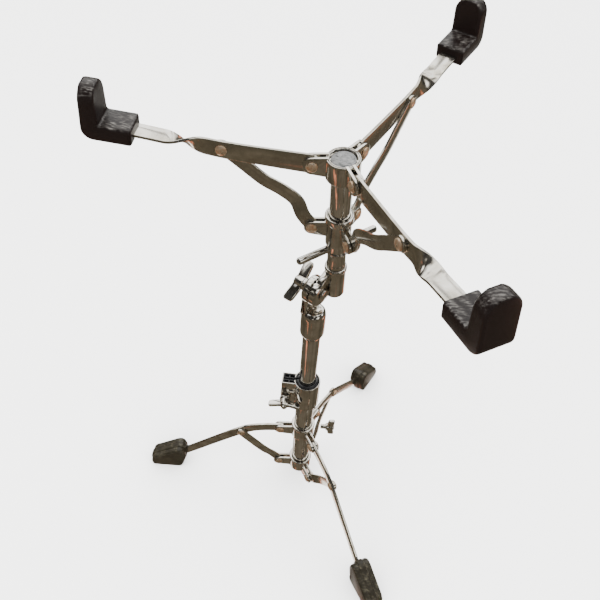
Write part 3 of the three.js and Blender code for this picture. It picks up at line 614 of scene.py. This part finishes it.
def leg_brace(k):
    """A flat strut from the lower hub's slot, stepping aside by a smoothstep to pass along the leg's face."""
    share = np.array([0, 0.2, 0.35, 0.5, 0.65, 1])
    x, z = (a + (b - a) * share for a, b in zip(LOW_PIVOT, LEG_JOINT))
    line = np.stack([x, LEG_ASIDE * smoothstep((share - 0.15) / 0.3), z], -1)
    bar = strip(line, lambda s: 12 + 0 * s, LEG_BRACE_THICK, round_start=6, round_end=6, samples=90)
    piece(f"leg_brace_{k}", [bar], leg_plane(k), STRIP_CHROME)
    lone_head(f"leg_brace_{k}", leg_plane(k), LEG_JOINT[0], LEG_ASIDE + LEG_BRACE_THICK / 2, LEG_JOINT[1],
              f"leg_brace_{k}")


def leg_hub(node, bottom, top, slot, pivot_z):
    boss = turned([[11.4, bottom], [14.2, bottom], [14.2, top - 3.4], [15.0, top - 2.4], [14.4, top],
                   [11.4, top]], ease=0.8, closed=True)
    clevis_hub(node, boss, leg_plane(1), (LEG_PIVOT[0], pivot_z), 7, slot, 2.8, 12.5)


FOOT = {"inner": 158, "outer": 207, "width": 24}


def foot_side():
    """A boot's side outline: flat sole, round toe, a sloping back and a deep inner end."""
    inner, outer, _ = FOOT.values()
    corners = [[inner + 7, 0.0], [outer - 1.5, 0.0], [outer + 0.5, 9], [outer - 3, 18], [outer - 11, 22.5],
               [inner + 13, 39.5], [inner + 6, 41.5], [inner + 1.5, 36], [inner - 0.5, 26], [inner + 2.5, 13]]
    return even_outline(eased(corners, 4.5, steps=6, closed=True), 1.2)


def foot(k):
    """A rubber boot: its outline with rolled rims, a flared welt at the sole and a raised band along the middle.

    The welt moves the side faces out by 0.9 mm times the cube of how far they are from the middle."""
    line, width = foot_side(), FOOT["width"]
    grid, faces = slab(line, width - 0.8, 0, 3.2, rounds=7)
    across = grid[..., 1] / (width / 2)
    welt = smoothstep((9.5 - grid[..., 2]) / 1.2) * 0.9
    grid[..., 1] += np.sign(across) * np.abs(across) ** 3 * welt
    centre = line.mean(axis=0)
    raised = centre + (line - centre) * 1.06
    raised[:, 1] = np.maximum(raised[:, 1], 2.0)
    band = slab(even_outline(raised, 1.2), width * 0.36, 0, 1.2)
    piece(f"foot_{k}", [(grid, faces), band], leg_plane(k), FOOT_RUBBER, "foot_rubber", "moulded_")


# ---------------------------------------------------------------- height clamp
CLAMP = {"bottom": 173, "radius": 15.4, "bolt_r": 24, "bolt_z": 186}
CLAMP_TURN, LOCK_SCREW_TURN = 184, 187.4
CLAMP_PLACE = basis(*turn_z(CLAMP_TURN).T, TUBE_AXIS)


def split_ring(profile, half_gap, sides=72, ease=0.5):
    """A turned ring left open by half_gap degrees each side of +x, its two ends closed."""
    line = eased(profile, ease, closed=True)
    angle = np.radians(np.linspace(half_gap, 360 - half_gap, sides))[:, None]
    radius, height = line[None, :, 0], line[None, :, 1]
    grid = np.stack([radius * np.cos(angle), radius * np.sin(angle), height + 0 * angle], -1)
    return grid, net(sides, len(line)) + lids(sides, len(line))


def upright_plate(low, high, bottom, top, ease, thick, y, edge):
    """An upright plate across x from low to high, with eased corners."""
    outline = eased([[low, bottom], [high, bottom], [high, top], [low, top]], ease, steps=5, closed=True)
    return slab(outline, thick, y, edge)


def clamp_band():
    """The split band and its lug: two cheeks drawn together by the bolt, and a thin wall round the insert."""
    bottom, radius, bolt_r, bolt_z = CLAMP.values()
    ring = split_ring([[11.4, bottom], [radius - 0.8, bottom], [radius, bottom + 1.2], [radius, 216],
                       [radius - 0.4, 217], [radius - 1.2, 217], [radius - 1.4, 216], [radius - 1.4, bottom + 16],
                       [11.4, bottom + 16]], 9)
    ear = eased([[12, bottom + 2], [bolt_r + 3, bottom + 2], [bolt_r + 6, bolt_z - 5], [bolt_r + 6, 199],
                 [12, 199]], 2.5, steps=6, closed=True)
    ears = [slab(ear, 4.5, side * 4.25, 0.6) for side in (1, -1)]
    walls = [upright_plate(12.6, bolt_r + 5, 196, 216.5, 1.2, 1.1, side * 7.0, 0.3) for side in (1, -1)]
    grid, faces = upright_plate(-7.5, 7.5, 196, 216.5, 1.2, 1.1, bolt_r + 4.8, 0.3)
    piece("clamp_band", [ring, *ears, *walls, (grid[..., [1, 0, 2]], faces)], CLAMP_PLACE, CAST_CHROME)


def clamp_insert():
    """The plastic sleeve round the height tube, and its split block: each half has walls round two square
    pockets over a floor."""
    shapes = [split_ring([[9.8, 205.3], [13.6, 205.3], [13.6, 216.4], [12.8, 217.4], [10.6, 218.6], [9.8, 218.2]],
                         6, ease=0.4)]
    near, far = (1.0, 2.2), (5.4, 6.3)
    both = (near[0], far[1])
    walls = ((12, 28, far, 216), (12, 28, near, 215.4), (12, 15.5, both, 216.4), (20.3, 21.7, both, 215.4),
             (26.6, 28, both, 216), (12, 28, both, 209))
    for side in (1, -1):
        for low, high, (y0, y1), top in walls:
            outline = eased([[low, 199.4], [high, 199.4], [high, top], [low, top]], 0.5, closed=True)
            shapes.append(slab(outline, y1 - y0, side * (y0 + y1) / 2, 0.25))
    piece("clamp_insert", shapes, CLAMP_PLACE, NYLON, "clamp_plastic", "moulded_")


# ---------------------------------------------------------------- tilter
PIVOT_Z = 372
TILT_TURN = -26.5
LEANING = turn_z(TILT_TURN) @ turn_x(3.8)   # the basket leans back a little at rest
TILT_FRAME = basis(*turn_z(TILT_TURN).T, TUBE_AXIS + np.array([0, 0, PIVOT_Z * MM]))
LEAN_FRAME = basis(*LEANING.T, TILT_FRAME[:3, 3])
RATCHET = {"radius": 15, "thick": 8.4, "teeth": 20, "tooth": 1.3}
CUP = {"top": 30, "bottom": -12, "radius": 10, "x": 10.5, "y": 17}


def ratchet(side):
    """A ratchet disc about x, on the side given by a sign. Its inner face carries radial teeth: beyond the
    hub the face is lower by tooth times a triangle wave of the angle, with one wave for each tooth."""
    radius, thick, teeth, tooth = RATCHET.values()
    sides = teeth * 10
    tip = GAP / 2
    line = eased([[4.3, tip + 0.9], [6.6, tip + 0.9], [7.2, tip], [radius - 0.3, tip], [radius, tip + 0.3],
                  [radius, tip + thick - 2.2], [radius - 1.6, tip + thick - 0.4], [radius - 3, tip + thick],
                  [4.3, tip + thick]], 0.25, closed=True)
    angle = np.linspace(0, 2 * math.pi, sides, endpoint=False)[None, :]
    wave = np.abs(((angle * teeth / (2 * math.pi)) % 1.0) * 2 - 1)
    r, z = line[:, :1], line[:, 1:]
    toothed = (r > 6.9) & (z < tip + 1.0)
    z = z + np.where(toothed, tooth * (1 - wave), 0.0)
    grid = np.stack([side * (z + 0 * angle), r * np.cos(angle), r * np.sin(angle)], -1)
    return grid, net(len(line), sides, wrap_rows=True)


def tilter_lower():
    """The sleeve on the height tube with its domed top, and the broad neck that carries one disc."""
    shoulder, sleeve_end = 337 - PIVOT_Z, 303 - PIVOT_Z
    sleeve = turned([[9.8, sleeve_end], [10.8, sleeve_end], [13, sleeve_end + 6], [13, shoulder],
                     [12.6, shoulder + 3.4], [10.4, shoulder + 6.6], [7, shoulder + 7.6], [POLE, shoulder + 8],
                     [POLE, shoulder + 0.3], [9.8, shoulder + 0.3]], ease=1.4, closed=True)
    neck = eased([[-10.2, shoulder + 4], [-2.2, shoulder + 4], [-1.8, 0], [-8.5, 0], [-9.2, -12]], 1.2,
                 closed=True)
    piece("tilter_lower", [sleeve, slab(neck, 24, 0, 3.0), ratchet(-1)], TILT_FRAME, CAST_CHROME)


def tilter_upper():
    """The cup that holds the basket's post, the web that joins it to its disc, and the disc."""
    top, bottom, radius, x, y = CUP.values()
    cup = turned([[POLE, bottom], [radius - 3.6, bottom], [radius, bottom + 4.2], [radius, top - 5],
                  [radius + 0.9, top - 4], [radius + 0.9, top - 1.2], [radius, top], [6.3, top], [6.3, top - 12],
                  [POLE, top - 12]], ease=0.9)
    web = eased([[-4, -13.5], [y, bottom + 1], [y, top - 6], [y - 6, top - 9], [2, 18], [-5, 13]], 5, steps=7,
                closed=True)
    grid, faces = slab(web, 7.4, 0, 1.0)
    rib = shift((grid[..., [1, 0, 2]], faces), x=5.0)
    piece("tilter_upper", [shift(cup, x=x, y=y), rib, ratchet(1)], LEAN_FRAME, CAST_CHROME)


def tilter_fasteners():
    bolt = turned([[POLE, -23.5], [4, -23.5], [4, 9], [6.4, 9], [6.4, 10.4], [5.4, 11.3], [3, 11.6],
                   [POLE, 11.6]], ease=0.5)
    piece("tilter_bolt", [lay(bolt, "x")], TILT_FRAME, CAST_CHROME)
    ring = turned([[4.3, -10.6], [8, -10.6], [8, -8.9], [4.3, -8.9]], ease=0.4, closed=True)
    piece("tilter_washer", [lay(ring, "x")], TILT_FRAME, CAST_CHROME)
    wings = wing_head(14, 6.8, 46, thick=5, root=0.25, width=10.5, sweep=1.5)
    turn = turn_z(TILT_TURN + 180) @ turn_x(56)
    piece("tilter_wing_nut", wings, wing_place("tilt_nut_turn", turn), CAST_CHROME)


def clamp_wing_nut():
    wings = wing_head(13, 6.5, 38, thick=4.4, root=0.35, width=8, sweep=2)
    turn = turn_z(CLAMP_TURN + 90) @ turn_x(90)
    piece("clamp_wing_nut", wings, wing_place("clamp_nut_turn", turn), CAST_CHROME)


def leg_lock_screw():
    """The wing screw on the leg collar: its wings start 18 mm out from the base tube's wall."""
    shank = lay(turned([[POLE, -6.6], [3, -6.6], [3, 1], [POLE, 1]], ease=0.3), "x")
    wings = wing_head(11, 4.6, 30, thick=4.4, root=0.15, width=8, sweep=1.5)
    turn = turn_z(LOCK_SCREW_TURN + 180)
    origin = TUBE_AXIS + turn @ np.array([(BASE_TUBE["radius"] + 18) * MM, 0, 0]) + np.array([0, 0, 116 * MM])
    piece("leg_lock_screw", [shank, *wings], basis(*turn.T, origin), CAST_CHROME)


# ---------------------------------------------------------------- basket
def threaded_rod(radius, bottom, top, pitch=1.5, depth=0.5, sides=40):
    """A rod with a V thread: radius less depth times a triangle wave of (z / pitch - angle / 2 pi)."""
    z = np.arange(bottom, top, pitch / 6)[:, None]
    angle = np.linspace(0, 2 * math.pi, sides, endpoint=False)[None, :]
    wave = np.abs(((z / pitch - angle / (2 * math.pi)) % 1.0) * 2 - 1)
    fade = smoothstep((z - bottom) / 2)
    r = radius - depth * wave * fade - 0.8 * (1 - fade)
    grid = np.stack([r * np.cos(angle), r * np.sin(angle), z + 0 * angle], -1)
    return grid, net(len(z), sides) + lids(len(z), sides)


def basket_post():
    sleeve = turned([[POLE, -56.5], [9.5, -56.5], [9.5, -0.4], [POLE, -0.4]], ease=0.5)
    piece("basket_post", [sleeve, threaded_rod(6, -157.5, -56)], HUB, TUBE_CHROME)


def arm_hub():
    boss = turned([[9.8, -13.5], [13.6, -13.5], [14.6, -12], [14.6, 5.2], [14.2, 6.8], [13.3, 6.8], [13.3, 3],
                   [9.8, 2.6]], ease=0.5, closed=True)
    bead = turned([[11.5, 5.2], [11.5, 6.4], [12.2, 7.0], [12.9, 6.6], [13.1, 5.2]], ease=0.4, closed=True)
    clevis_hub("arm_hub", fused([boss, bead]), HUB, ARM_PIVOT, 8.2, 3.2, 2.8, 12)


def hub_cap():
    cap = turned([[POLE, 3.3], [10.5, 3.3], [10.5, 5.1], [10.0, 5.6], [POLE, 5.8]], ease=0.3)
    piece("hub_cap", [cap], HUB, CAP_STEEL, "cap_steel", "turned_")


def slider_hub():
    boss = turned([[9.8, -55], [9.8, -88], [6.3, -88], [6.3, -90], [11, -90], [11.6, -89.2], [11.6, -63],
                   [13.2, -61], [13.2, -56], [12.5, -55]], ease=0.6, closed=True)
    clevis_hub("slider_hub", boss, HUB, SLIDER_PIVOT, 7, 3.0, 2.6, 10)


def adjuster():
    """The round nut under the slider: rings above and below a plain waist, with its tommy bar."""
    nut = turned([[6.3, -121.7], [8.7, -121.7], [9.3, -121], [9.3, -117], [8.9, -116.4], [8.9, -103],
                  [9.3, -102.2], [9.3, -101.5], [10.5, -100.7], [10.5, -99], [9.3, -98.2], [9.3, -91],
                  [8.8, -90.3], [6.3, -90.3]], ease=0.35, closed=True)
    piece("adjuster_nut", [nut], ADJUSTER, CAST_CHROME)
    points, faces = turned([[POLE, 6.6], [3.6, 6.6], [3.6, 41.4], [2.4, 43], [POLE, 43]], ease=0.3, sides=48)
    for side, node in ((1, "adjuster_handle_1"), (-1, "adjuster_handle_2")):
        piece(node, [shift((points[..., [0, 2, 1]] * [1, side, 1], faces), z=-94)], ADJUSTER, TUBE_CHROME)


ADJUSTER = basis(*(LEANING @ turn_z(68 - 90)).T, HUB[:3, 3])

ARM_THICK, ARM_BRACE_THICK = 2.6, 2.4
ARM_ASIDE = ARM_THICK / 2 + ARM_BRACE_THICK / 2 + GAP   # the brace lies beside the arm
ARM_LINE = [[25.2, 0, -2], [62, 0, 1.1], [100.2, 0, 5], [122, 0, 8.8], [145, 0, 13], [169.5, 0, 17],
            [198.5, 0, 20.3]]


def arm(k):
    """A flat strip on edge that turns a quarter about its line before the grip, to lie flat inside it."""
    bar = strip(ARM_LINE, lambda s: 19 - 3 * np.clip(s / 0.5, 0, 1), ARM_THICK, round_start=8.4, samples=200,
                twist=lambda s: math.pi / 2 * smoothstep((s * 175 - 87) / 36))
    piece(f"arm_{k}", [bar], arm_plane(k), STRIP_CHROME)


def arm_brace(k):
    """A flat strut in an S from the slider's slot, up and out and aside to the arm's face."""
    side = -ARM_ASIDE
    line = [[24.2, 0, -72], [32.5, side * 0.1, -60], [38.5, side * 0.8, -46], [50, side, -36], [66, side, -26],
            [82, side, -11.5], [100.2, side, 5]]
    bar = strip(line, lambda s: 13.5 - 1.5 * s, ARM_BRACE_THICK, round_start=6.8, round_end=7, samples=150)
    piece(f"arm_brace_{k}", [bar], arm_plane(k), STRIP_CHROME)


GRIP = {"start": 169.5, "z": 17, "lean": 6.5, "width": 27, "block": 26, "deep": 41, "low": -7.5, "high": 7.5,
        "tall": 39}


def bent_block(rings, edge, arc=6):
    """A block with rolled edges carried along a bend. Each ring joins an inner point to an outer point of
    the side view, and its outline is a rounded rectangle between them; the first and last rings shrink
    by edge (1 - sin t) while they run out to the end faces by edge cos t."""
    inner, outer, half = rings
    t = np.linspace(0, math.pi / 2, 7)[:-1]
    first, last = inner[0] - inner[1], inner[-1] - inner[-2]
    first, last = first / np.linalg.norm(first), last / np.linalg.norm(last)

    def end(index, way):
        run = edge * (np.cos(t) - 1)[:, None] * way
        return inner[index] + run, outer[index] + run, np.full(len(t), half[index]), edge * (1 - np.sin(t))

    start, stop = end(0, first), end(-1, last)
    middle = (inner[1:-1], outer[1:-1], half[1:-1], np.zeros(len(inner) - 2))
    inner, outer, half, shrink = (np.concatenate([a, b, c[::-1]]) for a, b, c in zip(start, middle, stop))
    across = outer - inner
    thick = np.linalg.norm(across, axis=1)
    across /= thick[:, None]
    section = rounded_section(arc)
    wide = (half - edge)[:, None] * section[:, 0] + (edge - shrink)[:, None] * section[:, 2]
    deep = (thick / 2 - edge)[:, None] * section[:, 1] + (edge - shrink)[:, None] * section[:, 3]
    flat = (inner + outer)[:, None] / 2 + deep[..., None] * across[:, None]
    grid = np.stack([flat[..., 0], wide, flat[..., 1]], -1)
    rows, columns = grid.shape[:2]
    return grid, net(rows, columns) + lids(rows, columns)


def grip(k):
    """A rubber grip: a block over the arm's end that bends up into a thick thumb with a round top.

    Above its shoulder the thumb's half width is the shoulder's plus the root of r squared less rise squared."""
    start, lift, lean, width, block, deep, low, high, tall = GRIP.values()

    def side(corner_x, corner_z, radius, end_x, level):
        angle = np.radians(np.linspace(-90, 0, 14))
        flat = np.stack([np.linspace(0, corner_x - radius, 22), np.full(22, level)], -1)
        bend = np.stack([corner_x - radius * (1 - np.cos(angle)), corner_z + radius * (1 + np.sin(angle))], -1)
        rise = np.linspace(corner_z + radius, tall, 40)[1:]
        upright = np.stack([corner_x + (end_x - corner_x) * (rise - rise[0]) / (tall - rise[0]), rise], -1)
        return np.vstack([flat[:-1], bend, upright])

    outer, inner = side(deep, low, 9.5, deep - 1.8, low), side(block, high, 2.2, block + 0.9, high)
    half = np.full(len(outer), width / 2)
    grid, faces = bent_block((inner, outer, half), 2.6)
    radius = 12.5
    rise = np.clip(grid[..., 2] - (tall - radius), 0, radius)
    grid[..., 1] *= (width / 2 - radius + np.sqrt(radius ** 2 - rise ** 2 * 0.985)) / (width / 2)
    lean = math.radians(lean)
    x, z = grid[..., 0].copy(), grid[..., 2].copy()
    grid[..., 0] = start + x * math.cos(lean) - z * math.sin(lean)
    grid[..., 2] = lift + x * math.sin(lean) + z * math.cos(lean)
    piece(f"arm_grip_{k}", [(grid, faces)], arm_plane(k), GRIP_RUBBER, "grip_rubber", "moulded_")


# ---------------------------------------------------------------- assembly
pipe("base_tube", *BASE_TUBE.values())
pipe("height_tube", *HEIGHT_TUBE.values())
leg_hub("leg_hub_upper", 99, 122, 3.6, LEG_PIVOT[1])
leg_hub("leg_hub_lower", 16, 38, 3.0, LOW_PIVOT[1])
clamp_band()
clamp_insert()
cast_copy("clamp_bolt", 0.4, CAST_CHROME, "chrome")
tilter_lower()
tilter_upper()
tilter_fasteners()
clamp_wing_nut()
leg_lock_screw()
basket_post()
arm_hub()
hub_cap()
slider_hub()
adjuster()
REACH = 3.4                                 # from a strip's face to the outside of its clevis
leg_side, low_side, arm_side = (thick / 2 + REACH for thick in (LEG_THICK, LEG_BRACE_THICK, ARM_THICK))
for k in (1, 2, 3):
    leg(k)
    leg_brace(k)
    foot(k)
    rivet(f"leg_pivot_rivet_{k}", leg_plane(k), *LEG_PIVOT, -leg_side, leg_side)
    rivet(f"lower_hub_rivet_{k}", leg_plane(k), *LOW_PIVOT, -low_side, low_side)
    rivet(f"leg_brace_rivet_{k}", leg_plane(k), *LEG_JOINT, -LEG_THICK / 2 - GAP, LEG_THICK / 2, (True, False))
    arm(k)
    arm_brace(k)
    grip(k)
    rivet(f"arm_pivot_rivet_{k}", arm_plane(k), *ARM_PIVOT, -arm_side, arm_side)
    rivet(f"arm_brace_rivet_{k}", arm_plane(k), *ARM_JOINT, -ARM_ASIDE - ARM_BRACE_THICK / 2 - GAP,
          ARM_THICK / 2 + GAP)
    rivet(f"slider_rivet_{k}", arm_plane(k), *SLIDER_PIVOT, -ARM_BRACE_THICK / 2 - 3.2,
          -ARM_BRACE_THICK / 2 - GAP, (True, False))
    lone_head(f"slider_{k}", arm_plane(k), SLIDER_PIVOT[0], ARM_BRACE_THICK / 2 + 2.9, SLIDER_PIVOT[1], "slider")


# ---------------------------------------------------------------- camera, floor and light
def camera():
    yaw, pitch, roll = (math.radians(v) for v in (-7.721, -48.22, 3.944))
    forward = Vector((math.sin(yaw) * math.cos(pitch), math.cos(yaw) * math.cos(pitch), math.sin(pitch)))
    level = Vector((math.cos(yaw), -math.sin(yaw), 0))
    above = level.cross(forward)
    right = math.cos(roll) * level + math.sin(roll) * above
    above = -math.sin(roll) * level + math.cos(roll) * above
    data = bpy.data.cameras.new("camera")
    data.lens, data.sensor_width, data.clip_start = 38.3, 36, 0.01
    body = bpy.data.objects.new("camera", data)
    place = Vector(TUBE_AXIS) + Vector((42.74, -426.56, 835.81)) * MM
    rows = [[*(a[i] for a in (right, above, -forward)), place[i]] for i in range(3)]
    body.matrix_world = Matrix([*rows, [0, 0, 0, 1]])
    bpy.context.scene.collection.objects.link(body)
    bpy.context.scene.camera = body


def floor():
    mesh = bpy.data.meshes.new("floor")
    half, level = 6.0, -0.0004
    mesh.from_pydata([(x * half, y * half, level) for x, y in ((-1, -1), (1, -1), (1, 1), (-1, 1))], [],
                     [(0, 1, 2, 3)])
    ground = bpy.data.objects.new("floor", mesh)
    bpy.context.scene.collection.objects.link(ground)
    material, tree = new_material("pale paper")
    finish_material(tree, Base_Color=linear("#f4f4f3"), Roughness=0.9)
    mesh.materials.append(material)
    ground.visible_glossy = False


def light(name, place, aim, size, watts):
    """A soft square lamp that lights the rubber and the floor. The chrome mirrors the room instead."""
    data = bpy.data.lights.new(name, "AREA")
    data.shape, data.size, data.size_y, data.energy = "RECTANGLE", size, size, watts
    lamp = bpy.data.objects.new(name, data)
    lamp.location = place
    lamp.rotation_euler = (Vector(aim) - Vector(place)).to_track_quat("-Z", "Y").to_euler()
    lamp.visible_camera = False
    lamp.visible_glossy = False
    bpy.context.scene.collection.objects.link(lamp)


def studio():
    """Pale surroundings for the floor and the eye, and a cluttered room for what the chrome mirrors.

    The room is a noise of the direction. Low on the near side it is a dark floor with a few warm things on
    it, high on the near side a dark wall, and overhead and low on the far side it is white."""
    world = bpy.data.worlds.new("studio")
    bpy.context.scene.world = world
    world.use_nodes = True
    tree = world.node_tree
    tree.nodes.clear()
    way = add(tree, "ShaderNodeTexCoord").outputs["Generated"]
    bands = add(tree, "ShaderNodeMapping", {"Vector": way}, Scale=(1, 1, 0.8)).outputs[0]
    clutter = add(tree, "ShaderNodeTexNoise", {"Vector": bands}, Scale=2.0, Detail=2.0, Distortion=0.3).outputs[0]
    parts = add(tree, "ShaderNodeSeparateXYZ", {0: way}).outputs
    floor_side = ramp(tree, clutter, (0.0, "#201d18"), (0.42, "#39342b"), (0.56, "#443e34"), (0.605, "#38322a"),
                      (0.62, "#b4755c"), (0.65, "#b47258"), (0.66, "#2d2821"), (0.69, "#f3efe6"),
                      (1.0, "#ffffff"))
    dark_side = ramp(tree, clutter, (0.0, "#0b0a09"), (0.54, "#151310"), (0.62, "#292620"), (0.66, "#f0ede6"),
                     (0.70, "#ffffff"), (1.0, "#ffffff"))
    bright_side = ramp(tree, clutter, (0.0, "#201e19"), (0.36, "#2e2b24"), (0.41, "#efece5"), (0.58, "#ffffff"),
                       (0.61, "#474239"), (0.64, "#ffffff"), (1.0, "#ffffff"))
    near = blend_colours(tree, spread(tree, parts["Z"], -0.12, 0.15), floor_side, dark_side)
    lean = arithmetic(tree, "ADD", spread(tree, parts["Z"], -1, 1, -0.9, 0.9),
                      spread(tree, parts["Y"], -1, 1, -0.6, 0.6))
    ragged = arithmetic(tree, "ADD", lean, clutter)
    far_floor = arithmetic(tree, "MULTIPLY", spread(tree, parts["Y"], 0.60, 0.68),
                           spread(tree, parts["Z"], -0.6, -0.4, 1, 0))
    back = arithmetic(tree, "MAXIMUM", spread(tree, ragged, 1.12, 1.36), far_floor)
    room = blend_colours(tree, back, near, bright_side)
    path = add(tree, "ShaderNodeLightPath")
    dim = add(tree, "ShaderNodeBackground", {"Color": room}, Strength=3.0)
    pale = add(tree, "ShaderNodeBackground", Color=linear("#ffffff"), Strength=5.0)
    mixed = add(tree, "ShaderNodeMixShader", {0: path.outputs["Is Glossy Ray"], 1: pale.outputs[0],
                                              2: dim.outputs[0]})
    add(tree, "ShaderNodeOutputWorld", {"Surface": mixed.outputs[0]})
    light("key", (-0.9, -0.7, 1.9), (0, 0, 0.3), 0.9, 14)
    light("fill", (1.6, -0.6, 1.2), (0, 0, 0.3), 0.7, 5)


camera()
floor()
studio()
